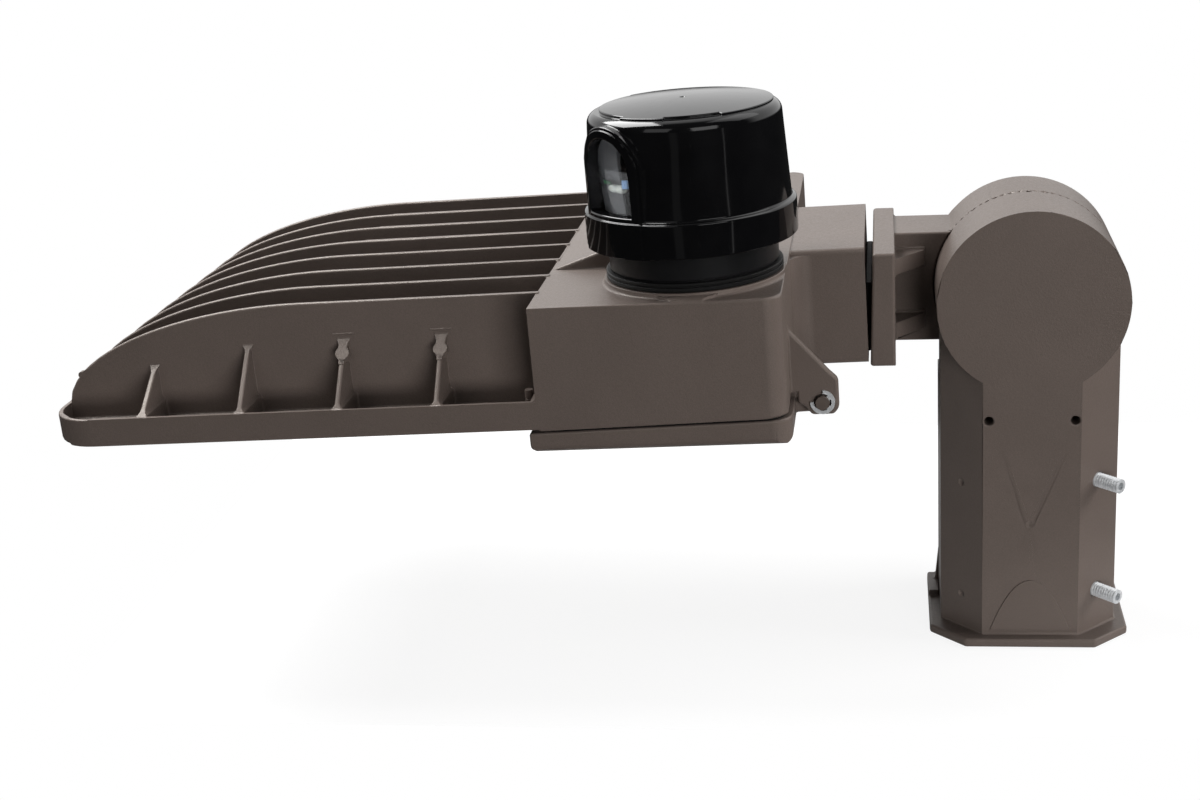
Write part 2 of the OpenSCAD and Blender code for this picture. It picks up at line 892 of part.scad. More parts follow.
module box_shell() {
    difference() {
        union() {
            intersection() {
                rear_block(-box_front, -box_rear, box_h, part_front_z - box_skirt, box_top, box_r);
                // sloping joint face below
                side_cut([[-box_front - 1, part_z(-box_front - 1)], [-box_rear + 1, part_z(-box_rear + 1)],
                    [-box_rear + 1, box_top + 1], [-box_front - 1, box_top + 1]],
                    -box_h - 1, box_h + 1);
            }
            difference() {
                side_cut(hump_pts(0, 0), -hump_w / 2, hump_w / 2);
                translate([-cell_x, -cell_y, box_top])
                    cylinder(r = pad_r + pad_clear, h = hump_top);
            }
            roof_boss();
        }
        // cavity
        round_block(-box_front + box_wall, -box_rear - box_wall, -box_h + box_wall, box_h - box_wall,
            part_front_z - box_skirt - 1, inner_top, box_r - box_wall);
        difference() {
            side_cut(hump_pts(roof_t, box_wall), -hump_w / 2 + box_wall, hump_w / 2 - box_wall);
            translate([-cell_x, -cell_y, inner_top - 1])
                cylinder(r = pad_r + pad_clear + box_wall, h = hump_top);
        }
        // opening and screw holes under the receptacle
        translate([-cell_x, -cell_y, inner_top - 1])
            cylinder(r = bore_r, h = pad_top);
        for (a = [0, 180])
            translate([-cell_x, -cell_y, inner_top - 1])
                rotate([0, 0, a])
                    translate([screw_ring, 0, 0])
                        cylinder(r = screw_hole_r + thread_gap, h = pad_top);
    }
}

// block with square front corners and rounded rear corners
module rear_block(x0, x1, h, z0, z1, r) {
    block(x0, x1 - r, -h, h, z0, z1);
    block(x0, x1, -h + r, h - r, z0, z1);
    for (y = [-h + r, h - r])
        translate([x1 - r, y, z0])
            cylinder(r = r, h = z1 - z0);
}

// raised seat of the receptacle: a fillet round its foot and a ramp down to the box's near edge
module roof_boss() {
    intersection() {
        translate([-cell_x, -cell_y, 0])
            rotate_extrude()
                polygon(concat([[0, inner_top + 1], [pad_r + pad_fillet, inner_top + 1]],
                    arc([pad_r + pad_fillet, box_top + pad_fillet], pad_fillet, 270, 180, fillet_steps),
                    [[pad_r, pad_top], [0, pad_top]]));
        block(-box_front, -box_rear, -box_h, 0, 0, pad_top + 1);
    }
    intersection() {
        translate([-cell_x, 0, box_top - 1])
            linear_extrude(pad_top - box_top)
                polygon([[-ramp_foot, -box_h], [ramp_foot, -box_h], [ramp_root, -cell_y - pad_r + 2],
                    [-ramp_root, -cell_y - pad_r + 2]]);
        translate([-box_front, 0, 0])
            rotate([90, 0, 90])
                linear_extrude(box_front)
                    polygon([[-box_h, box_top - 1], [-box_h, box_top],
                        [-cell_y - pad_r, box_top + ramp_rise], [-cell_y - pad_r + 2, box_top + ramp_rise],
                        [-cell_y - pad_r + 2, box_top - 1]]);
    }
}

// height of the sloping joint between box and lid at a given x
function part_z(x) = part_front_z + (x + lid_front) * part_slope;

module neck() {
    difference() {
        union() {
            block(-box_rear - box_wall, -neck_end, -neck_h, neck_h,
                neck_z0 + neck_round, neck_z1 - neck_round);
            block(-box_rear - box_wall, -neck_end, -neck_h + neck_round, neck_h - neck_round,
                neck_z0, neck_z1);
            for (y = [-neck_h + neck_round, neck_h - neck_round])
                for (z = [neck_z0 + neck_round, neck_z1 - neck_round])
                    rod_x(y, z, neck_round, -box_rear - box_wall, -neck_end);
            both_sides()
                difference() {
                    block(-box_rear - 1, -box_rear + neck_fillet, -neck_h - neck_fillet, -neck_h + 1,
                        neck_z0 + neck_round + neck_rear_drop, neck_z1 - neck_round);
                    translate([-box_rear + neck_fillet, -neck_h - neck_fillet, neck_z0])
                        cylinder(r = neck_fillet, h = neck_z1);
                }
        }
        block(-box_rear - box_wall - 1, -neck_end - neck_end_t, -neck_h + neck_wall, neck_h - neck_wall,
            neck_z0 + neck_wall, neck_z1 - neck_wall);
        // relief over the lid's rear edge
        block(-box_rear - box_wall - 1, -lid_rear + lid_relief, -box_h, box_h,
            neck_z0 - 1, part_rear_z + part_gap);
        rod_x(neck_hole_y, knuckle_z, neck_hole_r, -neck_end - neck_end_t - 1, -neck_end + 1);
        for (y = [-tie_x, tie_x])
            for (z = [-tie_z, tie_z])
                rod_x(y, flange_mid_z + z, tie_r + tie_clear, -neck_end - neck_end_t - 1, -neck_end + 1);
    }
}

// triangular hinge lug on the rear wall
module lug() {
    difference() {
        side_cut([[-box_rear - 1, lug_top], [-pin_x + lug_nose / 2, pin_z + lug_shoulder],
            [-pin_x + lug_nose, pin_z + lug_shoulder - lug_nose / 2],
            [-pin_x + lug_nose, pin_z - lug_low / 2],
            [-pin_x + lug_nose - 2, pin_z - lug_low], [-pin_x - lug_low + 1, pin_z - lug_low],
            [-lug_root + lug_low / 2, pin_z - 2], [-lug_root, pin_z - part_gap * 5], [-lug_root, lug_foot],
            [-box_rear - 1, lug_foot]],
            -lug_y, -lug_y + lug_t);
        rod_y(-pin_x, pin_z, pin_r + tiny, -lug_y - 1, -lug_y + lug_t + 1);
    }
}

module housing() color(paint) {
    in_head()
        difference() {
            union() {
                tray();
                for (i = [0:fins - 1])
                    fin(-fin_y1 + i * fin_pitch);
                both_sides() {
                    for (i = [0:3])
                        gusset(gusset_x[i], gusset_z[i]);
                    for (i = [2:3])
                        gusset_boss(gusset_x[i], gusset_z[i]);
                    fin_nub();
                    lug();
                }
                box_shell();
                difference() {
                    neck();
                    block(-box_rear - box_wall - 1, -box_rear - box_wall + tiny, -box_h, box_h, 0, box_top);
                }
                both_sides()
                    lid_boss();
            }
            // neck opens into the box
            block(-box_rear - box_wall - 1, -box_rear + 1, -neck_h + neck_wall, neck_h - neck_wall,
                neck_z0 + neck_wall + 3, neck_z1 - neck_wall);
            // lead hole from the box into the pocket
            rod_x(-lead_y, lead_z, lead_hole_r, -box_front - pocket_rear - 1, -box_front + box_wall + 1);
            both_sides() {
                translate([-box_front + lid_screw_x, -lid_screw_y, part_front_z - 2])
                    cylinder(r = lid_screw_r + thread_gap, h = lid_screw_len + 4);
                translate([-box_front - stud_x, -fin_y1 - stud_off, trough_floor - stud_foot])
                    cylinder(r = stud_r + tiny, h = stud_top - trough_floor + 2 * stud_foot);
            }
        }
}

module lid_boss() {
    difference() {
        translate([-box_front + lid_screw_x, -lid_screw_y, part_front_z + 0.6])
            cylinder(r = lid_boss_r, h = lid_boss_h);
        side_cut([[-box_front - 5, part_z(-box_front - 5)], [-box_rear, part_z(-box_rear)],
            [-box_rear, part_front_z - 9], [-box_front - 5, part_front_z - 9]], -box_h, box_h);
    }
}

module corner_studs() color(paint) {
    in_head()
        both_sides()
            translate([-box_front - stud_x, -fin_y1 - stud_off, trough_floor - stud_foot])
                difference() {
                    cylinder(r = stud_r, h = stud_top - trough_floor + stud_foot);
                    translate([0, 0, stud_groove_z + stud_foot])
                        tube(stud_r - 0.3, stud_r + 1, 0, stud_groove);
                }
}

module led_board() color([0.9, 0.9, 0.88]) {
    in_head()
        difference() {
            lens_outline(board_edge, pocket_top - board_t, pocket_top);
            block(-box_front - pocket_rear - board_edge - board_notch, -box_front - pocket_rear,
                -lead_y - board_notch, -lead_y + board_notch, 0, pocket_top + 1);
            lens_holes(lens_hole_r, pocket_top - board_t - 1, pocket_top + 1);
        }
}

function led_at(i, j) = [
    -led_x0 + (led_x0 - led_x1) * i / (led_cols - 1),
    -led_y + 2 * led_y * j / (led_rows - 1)];

module led_chips() color([0.95, 0.85, 0.3]) {
    in_head()
        for (i = [0:led_cols - 1])
            for (j = [0:led_rows - 1])
                translate([led_at(i, j)[0] - chip_w / 2, led_at(i, j)[1] - chip_w / 2,
                    pocket_top - board_t - chip_t])
                    cube([chip_w, chip_w, chip_t]);
}

module lens_outline(in, z0, z1) {
    block(-nose_x + pocket_front + in, -box_front - pocket_rear - in, -pocket_y + in, pocket_y - in, z0, z1);
}

module lens_holes(r, z0, z1) {
    for (x = [-nose_x + pocket_front + lens_hole_in, (-nose_x + pocket_front - box_front - pocket_rear) / 2,
        -box_front - pocket_rear - lens_hole_in])
        for (y = [-pocket_y + lens_hole_in, pocket_y - lens_hole_in])
            translate([x, y, z0])
                cylinder(r = r, h = z1 - z0);
}

module lens_plate() color([0.9, 0.95, 1, 0.4]) {
    in_head()
        difference() {
            union() {
                lens_outline(lens_edge, lens_z0 + lens_up, lens_z0 + lens_up + lens_t);
                for (i = [0:led_cols - 1])
                    for (j = [0:led_rows - 1])
                        translate([led_at(i, j)[0], led_at(i, j)[1], lens_z0 - lens_low])
                            cylinder(r1 = dome_r - dome_h, r2 = dome_r, h = lens_low + lens_up + part_gap);
            }
            for (i = [0:led_cols - 1])
                for (j = [0:led_rows - 1])
                    translate([led_at(i, j)[0], led_at(i, j)[1], lens_z0 + lens_t])
                        cylinder(r = lens_cup_r, h = dome_h);
            lens_holes(lens_hole_r, lens_z0 - 1, pocket_top);
        }
}

module lens_seal() color(black) {
    in_head()
        difference() {
            lens_outline(lens_edge, lens_z0 + lens_up + lens_t, pocket_top - board_t);
            lens_outline(lens_edge + lens_seal_w, lens_z0 + 1, pocket_top);
        }
}

module lens_frame() color(paint) {
    in_head()
        difference() {
            lens_outline(frame_edge, frame_z0, lens_z0 + lens_up);
            lens_outline(frame_edge + frame_w, frame_z0 - 1, pocket_top);
            lens_holes(lens_hole_r, frame_z0 - 1, pocket_top);
        }
}

module lens_screws() color(steel) {
    in_head() {
        lens_holes(lens_screw_r, frame_z0 - lens_low, pocket_top);
        difference() {
            lens_holes(lens_head_r, frame_z0 - lens_head_t, frame_z0);
            lens_holes(lens_dish_r, frame_z0 - 2 * lens_head_t, frame_z0 - lens_head_t / 2 - part_gap);
        }
    }
}

module driver() color([0.85, 0.86, 0.87]) {
    in_head() {
        difference() {
            round_block(-driver_front, -driver_front + driver_w, driver_y0, driver_y1, driver_z0, inner_top,
                driver_round);
            driver_fixings(driver_hole_r, driver_z0 - 1, inner_top + 1);
        }
        rod_y(-plug_x, plug_z, plug_r, driver_y0 - plug_len, driver_y0 + 1);
    }
}

// rods at the driver's four fixing points
module driver_fixings(r, z0, z1) {
    for (y = [driver_y0 + driver_hole_y, driver_y1 - driver_hole_y])
        for (x = [-driver_front + driver_hole_x, -driver_front + driver_w - driver_hole_x])
            translate([x, y, z0])
                cylinder(r = r, h = z1 - z0);
}

module driver_screws() color(steel) {
    in_head() {
        driver_fixings(driver_head_r, driver_z0 - driver_head_t, driver_z0);
        driver_fixings(driver_screw_r, driver_z0 - eps, inner_top);
    }
}

module surge_module() color([0.15, 0.15, 0.17]) {
    in_head()
        round_block(-surge_front, -surge_front + surge_w, -box_h + box_wall + surge_side,
            -box_h + box_wall + surge_side + surge_l, inner_top - surge_h, inner_top, surge_round);
}

module terminal_block() color([0.93, 0.93, 0.9]) {
    in_head()
        difference() {
            block(-terminal_rear - terminal_w, -terminal_rear, terminal_y, terminal_y + terminal_l,
                inner_top - terminal_h, inner_top);
            for (i = [0:3])
                translate([-terminal_rear - terminal_w / 2, terminal_y + terminal_pitch * (i + 0.5),
                    inner_top - terminal_h - 1])
                    cylinder(r = terminal_hole_r, h = terminal_hole_depth + 1);
        }
}

// lead made of straight round runs with ball corners
module lead(pts, r) {
    for (i = [0:len(pts) - 2])
        run(pts[i], pts[i + 1], r);
    for (i = [1:len(pts) - 2])
        translate(pts[i])
            sphere(r = r + lead_joint);
}

module run(a, b, r) {
    d = b - a;
    l = norm(d);
    translate(a)
        rotate([0, acos(d[2] / l), atan2(d[1], d[0])])
            cylinder(r = r, h = l);
}

module inner_leads() color([0.7, 0.1, 0.08]) {
    wire_x = -terminal_rear - terminal_w / 2;
    wire_top = inner_top - terminal_h;
    surge_out = -surge_front + surge_w + part_gap;
    in_head() {
        lead([[-plug_x, driver_y0 - plug_len - part_gap, plug_z], [-plug_x, -lead_y, plug_z],
            [-box_front + 8, -lead_y, lead_z], [-box_front - pocket_rear - 2, -lead_y, lead_z]], lead_r);
        lead([[wire_x, terminal_y + 7, wire_top], [wire_x, terminal_y + 7, knuckle_z - 1],
            [-neck_end + supply_in, neck_hole_y, knuckle_z]], supply_r);
        lead([[surge_out, -cell_y - 4, inner_top - 14], [-cell_x - 4, -cell_y, inner_top - 14],
            [-cell_x - 4, -cell_y, box_top - recept_low - part_gap]], cell_lead_r);
    }
}

module at_cell() {
    in_head()
        translate([-cell_x, -cell_y, 0])
            children();
}

module tube(r0, r1, z0, z1) {
    difference() {
        translate([0, 0, z0])
            cylinder(r = r1, h = z1 - z0);
        translate([0, 0, z0 - 1])
            cylinder(r = r0, h = z1 - z0 + 2);
    }
}

module receptacle_seal() color(black) {
    at_cell()
        difference() {
            tube(socket_r, ring_r, pad_top, ring_top);
            tube(ring_r - ring_ridge, ring_r + 1, ring_ridge_z, ring_ridge_z + ring_ridge_t);
        }
}

// arc slot for one blade, wide enough for the locking turn
module blade_slot(a) {
    rotate([0, 0, a - blade_slack])
        rotate_extrude(angle = blade_arc + twist_max + 2 * blade_slack)
            translate([blade_r - blade_t / 2 - blade_clear, 0])
                square([blade_t + 2 * blade_clear, blade_len + 6]);
}

module receptacle() color([0.07, 0.07, 0.08]) {
    at_cell()
        difference() {
            union() {
                translate([0, 0, pad_top])
                    cylinder(r = socket_r, h = recept_top - pad_top);
                translate([0, 0, ring_top + ring_line])
                    cylinder(r = neck_r, h = recept_top - ring_top - ring_line);
                translate([0, 0, box_top - recept_low])
                    cylinder(r = bore_r - 0.3, h = pad_top - box_top + recept_low + eps);
            }
            for (k = [0:2])
                translate([0, 0, recept_top - blade_len - 4])
                    blade_slot(k * blade_turn);
            tube(groove_in, groove_out, recept_top - groove_depth, recept_top + 1);
            for (a = [0, 180])
                rotate([0, 0, a])
                    translate([screw_ring, 0, pad_top - 1])
                        cylinder(r = screw_hole_r + part_gap, h = recept_top - pad_top);
        }
}

module receptacle_screws() color(steel) {
    at_cell()
        for (a = [0, 180])
            rotate([0, 0, a])
                translate([screw_ring, 0, 0]) {
                    translate([0, 0, inner_top])
                        cylinder(r = screw_hole_r, h = recept_top - groove_depth - inner_top + eps);
                    difference() {
                        translate([0, 0, recept_top - groove_depth])
                            cylinder(r = screw_head_r, h = screw_head_t);
                        translate([-screw_head_r, -0.4, recept_top - groove_depth + screw_head_t / 2])
                            cube([2 * screw_head_r, 0.8, screw_head_t]);
                    }
                }
}

module cell_seal() color([0.06, 0.06, 0.06]) {
    at_cell()
        tube(cell_seal_in, cell_seal_out, recept_top - groove_depth + part_gap, cell_base_z);
}

module cell_base() color([0.05, 0.05, 0.055]) {
    at_cell()
        difference() {
            translate([0, 0, cell_base_z])
                cylinder(r = skirt_r - cell_wall - part_gap, h = cell_base_t);
            cell_blade_set(0.03);
        }
}

module cell_blade_set(grow) {
    for (k = [0:2])
        rotate([0, 0, k * blade_turn])
            translate([0, 0, cell_base_z - blade_len])
                rotate_extrude(angle = blade_arc)
                    translate([blade_r - blade_t / 2 - grow, 0])
                        square([blade_t + 2 * grow, blade_len + cell_base_t + cell_board_up]);
}

module cell_blades() color([0.72, 0.6, 0.3]) {
    at_cell()
        cell_blade_set(0);
}

// height of the domed top at a given radius, for a dome that ends in z at radius r
function dome(x, r, z) = z + plate_dome * (1 - pow(x / r, 2));

// outside profile of the photocell cover: skirt, tapered wall, round shoulder and raised domed plate
function cover_pts() = let (edge = cell_top - plate_dome) concat(
    [[0, skirt_low], [skirt_r, skirt_low], [skirt_r, skirt_high - skirt_edge],
        [skirt_r - skirt_edge, skirt_high], [body_low_r, skirt_high + skirt_edge]],
    [for (p = arc([top_r - shoulder_r, shoulder_z], shoulder_r, 0, shoulder_turn, shoulder_steps))
        if (p[0] > plate_r) p],
    [[plate_r, edge - plate_step]],
    [for (i = [dome_steps:-1:0])
        let (x = plate_r * i / dome_steps) [x, dome(x, plate_r, edge)]]);

module cell_cover() color(black) {
    at_cell()
        difference() {
            union() {
                rotate_extrude()
                    polygon(cover_pts());
                rotate([0, 0, -window_turn])
                    hood();
            }
            // hollow inside
            rotate_extrude()
                polygon([[0, skirt_low - 1], [skirt_r - cell_wall, skirt_low - 1],
                    [skirt_r - cell_wall, skirt_low + 4], [body_low_r - 3, skirt_low + 8],
                    [top_r - shoulder_r, shoulder_z - 2], [0, shoulder_z]]);
            // stretches where the raised plate is set in
            for (a = notch_arcs)
                rotate([0, 0, a[0]])
                    rotate_extrude(angle = a[1])
                        translate([plate_r - plate_notch, cell_top - plate_dome - plate_step])
                            square([plate_notch + 1, plate_dome + plate_step]);
            translate([0, 0, cell_top - 0.8])
                cylinder(r1 = 0.4, r2 = dot_r, h = 1);
            rotate([0, 0, -window_turn])
                window_cut();
        }
}

// arch with straight legs, given by its half width, running from y0 to y1
module arch(half, z0, y0, y1) {
    block(-half, half, y0, y1, z0, hood_arch_z);
    rod_y(0, hood_arch_z, half, y0, y1);
}

// arched surround that stands out of the side of the cover, with a panel below it on the skirt
module hood() {
    intersection() {
        arch(hood_half, skirt_high - 1, -hood_out - 1, -hood_root);
        translate([0, 0, skirt_low])
            cylinder(r = hood_out - hood_step, h = cell_top - skirt_low);
    }
    intersection() {
        arch(hood_half - hood_rim / 2, skirt_high - 1, -hood_out - 1, -hood_root);
        translate([0, 0, skirt_low])
            cylinder(r = hood_out, h = cell_top - skirt_low);
    }
    intersection() {
        block(-hood_half, hood_half, -skirt_r - 2, -skirt_r + 8, skirt_low, skirt_high);
        translate([0, 0, skirt_low])
            cylinder(r = skirt_r + panel_out, h = cell_top - skirt_low);
    }
}

module window_cut() {
    arch(hood_in, window_z0, -hood_out - 2, -hood_root);
}

module cell_window() color([0.8, 0.85, 0.9, 0.3]) {
    at_cell()
        rotate([0, 0, -window_turn])
            intersection() {
                arch(hood_in - pane_clear, window_z0 + pane_clear, -hood_out, -hood_root);
                tube(hood_out - pane_in - pane_t, hood_out - pane_in, window_z0, cell_top);
            }
}

module cell_board() color([0.1, 0.3, 0.15]) {
    at_cell()
        translate([0, 0, cell_base_z + cell_base_t + cell_board_up])
            cylinder(r = cell_board_r, h = cell_board_t);
}

// sensor on a slanted stem that stands on the circuit board behind the window
module cell_sensor() color([0.85, 0.85, 0.85]) {
    foot = cell_base_z + cell_base_t + cell_board_up + cell_board_t;
    at_cell()
        rotate([0, 0, -window_turn]) {
            side_cut([[0, foot], [10, foot], [8, sensor_z], [2, sensor_z + 17], [-5, sensor_z + 17],
                [-2, sensor_z + 8], [1, sensor_z]], -sensor_y + 1, -sensor_y + 3);
            rod_y(4, sensor_z, sensor_r, -sensor_y - 4, -sensor_y + 1 + eps);
            rod_y(8, sensor_z + 1, sensor_r - 0.6, -sensor_y - 3, -sensor_y + 1 + eps);
        }
}

// E-clip in the groove of a pin, open towards the upper front
module clip() {
    difference() {
        rod_y(-pin_x, pin_z, clip_r, -lug_y - clip_t - part_gap, -lug_y - part_gap);
        rod_y(-pin_x, pin_z, clip_hole, -lug_y - 2, -lug_y + 1);
        translate([-pin_x, 0, pin_z])
            side_cut([[0, 0], [-2 * clip_r, 0.4], [-2 * clip_r, 2 * clip_r], [0.4, 2 * clip_r]],
                -lug_y - 2, 0);
    }
    for (a = clip_tabs)
        translate([-pin_x, 0, pin_z])
            rotate([0, a, 0])
                block(pin_r - pin_groove + part_gap / 2, clip_hole + 0.3, -lug_y - clip_t - part_gap,
                    -lug_y - part_gap, -0.9, 0.9);
}

module hinge_clips() color(steel) {
    in_head()
        both_sides()
            clip();
}

module hinge_pins() color(paint) {
    in_head()
        both_sides()
            difference() {
                rod_y(-pin_x, pin_z, pin_r, -lug_y - clip_t - 1.6, -lug_y + lug_t + ear_gap + ear_t + 1);
                difference() {
                    rod_y(-pin_x, pin_z, pin_r + 1, -lug_y - clip_t - part_gap * 1.5, -lug_y - part_gap / 2);
                    rod_y(-pin_x, pin_z, pin_r - pin_groove, -lug_y - 3, -lug_y + 1);
                }
            }
}

// lower edge profile of the lid, rounded at both ends, between u0 and u1
function lid_pts(u0, u1) = concat(
    arc([u0 + lid_round, lid_bottom + lid_round], lid_round, 180, 270, fillet_steps),
    arc([u1 - lid_round, lid_bottom + lid_round], lid_round, 270, 360, fillet_steps));

module lid() color(paint) {
    in_head()
        difference() {
            union() {
                difference() {
                    intersection() {
                        rear_block(-lid_front, -lid_rear, box_h, lid_bottom, part_rear_z, lid_r);
                        side_cut(concat(lid_pts(-lid_front, -lid_rear),
                            [[-lid_rear, part_z(-lid_rear) - lid_gap],
                                [-lid_front, part_z(-lid_front) - lid_gap]]),
                            -box_h, box_h);
                        translate([-lid_front - 1, 0, 0])
                            rotate([90, 0, 90])
                                linear_extrude(lid_front)
                                    polygon(concat(lid_pts(-box_h, box_h),
                                        [[box_h, box_top], [-box_h, box_top]]));
                    }
                    round_block(-lid_front + lid_wall + lid_over, -lid_rear - lid_wall - lid_rim,
                        -box_h + lid_wall + lid_rim, box_h - lid_wall - lid_rim,
                        lid_bottom + lid_floor, box_top, lid_r - lid_wall);
                }
                both_sides() {
                    ear();
                    translate([-box_front + lid_screw_x, -lid_screw_y, lid_bottom + lid_floor - eps])
                        cylinder(r = lid_boss_r, h = part_front_z - lid_gap - lid_bottom - lid_floor);
                }
            }
            both_sides() {
                translate([-box_front + lid_screw_x, -lid_screw_y, lid_bottom - 1])
                    cylinder(r = lid_screw_r + lid_screw_clear, h = part_rear_z - lid_bottom + 1);
                translate([-box_front + lid_screw_x, -lid_screw_y, lid_bottom - 1])
                    cylinder(r = lid_head_r + lid_screw_clear, h = lid_head_t + 1);
                rod_y(-pin_x, pin_z, pin_r + pin_clear, -lug_y, 0);
            }
        }
}

// hinge ear that reaches from the lid's rear edge to the pin
module ear() {
    rod_y(-pin_x, pin_z, ear_r, -lug_y + lug_t + ear_gap, -lug_y + lug_t + ear_gap + ear_t);
    side_cut([[-lid_rear - 1, lid_bottom + lid_round], [-lid_rear + 1, lid_bottom + lid_round],
        [-pin_x, pin_z - ear_r], [-pin_x, pin_z + ear_r], [-lid_rear + 2, pin_z + 1],
        [-lid_rear - 1, pin_z + 1]],
        -lug_y + lug_t + ear_gap, -lug_y + lug_t + ear_gap + ear_t);
}

module lid_seal() color(black) {
    in_head()
        difference() {
            intersection() {
                round_block(-box_front + seal_inset, -box_rear - seal_inset, -box_h + seal_inset,
                    box_h - seal_inset, lid_bottom, box_top, box_r - seal_inset);
                side_cut([[-lid_front, part_z(-lid_front) - lid_gap],
                    [-lid_rear, part_z(-lid_rear) - lid_gap],
                    [-lid_rear, part_z(-lid_rear) - 0.05], [-lid_front, part_z(-lid_front) - 0.05]],
                    -box_h, box_h);
            }
            round_block(-box_front + seal_inset + seal_w, -box_rear - seal_inset - seal_w,
                -box_h + seal_inset + seal_w, box_h - seal_inset - seal_w, lid_bottom - 1, box_top + 1,
                box_r - seal_inset - seal_w);
        }
}

module lid_screws() color(steel) {
    in_head()
        both_sides()
            translate([-box_front + lid_screw_x, -lid_screw_y, lid_bottom]) {
                difference() {
                    translate([0, 0, lid_head_in])
                        cylinder(r = lid_head_r, h = lid_head_t - lid_head_in);
                    translate([0, 0, lid_head_in - part_gap])
                        cylinder(d = lid_socket / cos(30), h = lid_socket_depth + part_gap, $fn = 6);
                }
                translate([0, 0, lid_head_t - eps])
                    cylinder(r = lid_screw_r, h = lid_screw_len + 4);
            }
}

fitter_body();
set_screws();
knuckle_bolt();
knuckle_washer();
knuckle_arm();
neck_seal();
tie_screws();
housing();
corner_studs();
led_board();
led_chips();
lens_seal();
lens_plate();
lens_frame();
lens_screws();
driver();
driver_screws();
surge_module();
terminal_block();
inner_leads();
receptacle_seal();
receptacle();
receptacle_screws();
hinge_pins();
hinge_clips();
lid();
lid_seal();
lid_screws();
cell_base();
cell_blades();
cell_seal();
cell_cover();
cell_window();
cell_board();
cell_sensor();
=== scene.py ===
"""Looks of the shoebox area light: camera, light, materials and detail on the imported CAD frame."""

import json
import math

import bmesh
import bpy
from mathutils import Matrix, Vector
from mathutils.geometry import intersect_point_line
from mathutils.kdtree import KDTree


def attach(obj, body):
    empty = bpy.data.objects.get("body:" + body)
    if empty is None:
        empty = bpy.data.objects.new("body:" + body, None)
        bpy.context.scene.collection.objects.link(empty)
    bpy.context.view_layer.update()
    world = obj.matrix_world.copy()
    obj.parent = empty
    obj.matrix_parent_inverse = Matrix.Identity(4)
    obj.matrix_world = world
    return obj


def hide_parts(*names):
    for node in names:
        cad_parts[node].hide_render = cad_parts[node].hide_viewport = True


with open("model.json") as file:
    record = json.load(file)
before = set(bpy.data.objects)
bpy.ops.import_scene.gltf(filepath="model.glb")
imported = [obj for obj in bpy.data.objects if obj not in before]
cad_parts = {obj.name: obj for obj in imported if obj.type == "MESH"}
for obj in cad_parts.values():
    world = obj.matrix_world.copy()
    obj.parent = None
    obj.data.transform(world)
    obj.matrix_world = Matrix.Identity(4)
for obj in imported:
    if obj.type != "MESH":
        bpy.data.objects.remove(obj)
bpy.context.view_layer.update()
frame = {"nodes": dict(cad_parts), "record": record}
nodes = frame["nodes"]

MM = 0.001


def new_object(name, data):
    """An object in the scene that shows this data."""
    o = bpy.data.objects.new(name, data)
    bpy.context.scene.collection.objects.link(o)
    return o


# ---------------------------------------------------------------- camera
# The photograph's own viewpoint and lens.
RIGHT = Vector((0.98813801, 0.1412011, -0.06037812))
UP = Vector((0.01202417, 0.32082158, 0.94706332))
AHEAD = Vector((-0.15309698, 0.93655527, -0.31531817))
EYE = Vector((-0.05946732, -0.79789739, 0.37088074))
LENS_MM = 56.003
FRAME_WIDTH_MM = 36.0
CLIP_START = 0.05
CLIP_END = 50

cam_data = bpy.data.cameras.new("camera")
cam_data.lens = LENS_MM
cam_data.sensor_width = FRAME_WIDTH_MM
cam_data.sensor_fit = "HORIZONTAL"
cam_data.clip_start = CLIP_START
cam_data.clip_end = CLIP_END
cam = new_object("camera", cam_data)
cam.matrix_world = Matrix((
    (RIGHT.x, UP.x, -AHEAD.x, EYE.x),
    (RIGHT.y, UP.y, -AHEAD.y, EYE.y),
    (RIGHT.z, UP.z, -AHEAD.z, EYE.z),
    (0, 0, 0, 1)))
bpy.context.scene.camera = cam
bpy.context.scene.view_settings.view_transform = "Standard"

# ---------------------------------------------------------------- head frame
# At rest the head droops a little about the knuckle, as in the photograph.
DROOP = math.radians(1.46)
KNUCKLE_Z = 0.154
IN_HEAD = (Matrix.Translation((0, 0, KNUCKLE_Z)) @ Matrix.Rotation(-DROOP, 4, "Y")
           @ Matrix.Translation((0, 0, -KNUCKLE_Z)))

# ---------------------------------------------------------------- materials
# Colour and gloss follow the noise between these two values, which hold most of it.
NOISE_LOW = 0.3
NOISE_HIGH = 0.7


def srgb(r, g, b):
    """Linear colour of an 8-bit picture colour."""
    out = []
    for v in (r, g, b):
        v /= 255
        out.append(v / 12.92 if v <= 0.04045 else ((v + 0.055) / 1.055) ** 2.4)
    return (*out, 1)


def grey(v):
    """A linear grey."""
    return (v, v, v, 1)


def scaled(colour, factor):
    """A linear colour made darker, or lighter up to white."""
    return (*(min(1, v * factor) for v in colour[:3]), 1)


